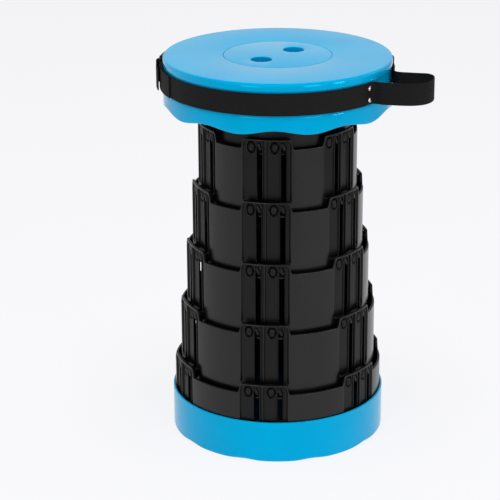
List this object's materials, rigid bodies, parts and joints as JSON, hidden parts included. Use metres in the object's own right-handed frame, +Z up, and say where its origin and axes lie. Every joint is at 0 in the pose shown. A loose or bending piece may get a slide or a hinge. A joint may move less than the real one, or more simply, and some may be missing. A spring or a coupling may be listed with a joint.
{
  "type": "collapsible telescopic stool",
  "caption": "Round telescopic stool of nested black rings between a blue seat and a blue base, with a webbing carrying strap; folds flat into a disc.",
  "frame": {"origin": "centre of the base's flat underside, on the floor and on the axis of the tiers", "axes": "+Z up along the tiers, -Y to the front as pictured, +X to the right, where the hand loop stands out"},
  "size_m": [0.317, 0.2646, 0.45],
  "materials": {
    "blue_shell": "smooth glossy moulded polypropylene, bright blue",
    "blue_plate": "smooth glossy moulded polypropylene, bright blue, a shade more violet",
    "black_tier": "satin moulded black polypropylene with fine upright ribs",
    "webbing": "woven black polypropylene webbing with lengthwise ribs",
    "buckle_plastic": "satin black acetal",
    "rivet_metal": "bright nickel plate",
    "screw_steel": "zinc-plated steel"
  },
  "bodies": {
    "base": {"base_shell": "blue_shell", "tier_6": "black_tier", "base_screw_1": "screw_steel", "base_screw_2": "screw_steel", "base_screw_3": "screw_steel", "base_screw_4": "screw_steel", "base_screw_5": "screw_steel", "base_screw_6": "screw_steel"},
    "tier_5": {"tier_5": "black_tier"},
    "tier_4": {"tier_4": "black_tier"},
    "tier_3": {"tier_3": "black_tier"},
    "tier_2": {"tier_2": "black_tier"},
    "seat": {"seat_shell": "blue_shell", "centre_plate": "blue_plate", "tier_1": "black_tier", "carry_strap": "webbing", "strap_buckle": "buckle_plastic", "front_rivet_upper": "rivet_metal", "front_rivet_lower": "rivet_metal", "back_rivet_upper": "rivet_metal", "back_rivet_lower": "rivet_metal", "front_washer_upper": "screw_steel", "front_washer_lower": "screw_steel", "back_washer_upper": "screw_steel", "back_washer_lower": "screw_steel", "seat_screw_1": "screw_steel", "seat_screw_2": "screw_steel", "seat_screw_3": "screw_steel", "seat_screw_4": "screw_steel", "seat_screw_5": "screw_steel", "seat_screw_6": "screw_steel"}
  },
  "joints": [
    {"name": "tier_5_slide", "type": "slide", "parent": "base", "child": "tier_5", "axis": [0, 0, 1], "range_m": [-0.0705, 0]},
    {"name": "tier_4_slide", "type": "slide", "parent": "tier_5", "child": "tier_4", "axis": [0, 0, 1], "range_m": [-0.0705, 0]},
    {"name": "tier_3_slide", "type": "slide", "parent": "tier_4", "child": "tier_3", "axis": [0, 0, 1], "range_m": [-0.0705, 0]},
    {"name": "tier_2_slide", "type": "slide", "parent": "tier_3", "child": "tier_2", "axis": [0, 0, 1], "range_m": [-0.0705, 0]},
    {"name": "seat_slide", "type": "slide", "parent": "tier_2", "child": "seat", "axis": [0, 0, 1], "range_m": [-0.0705, 0]}
  ]
}
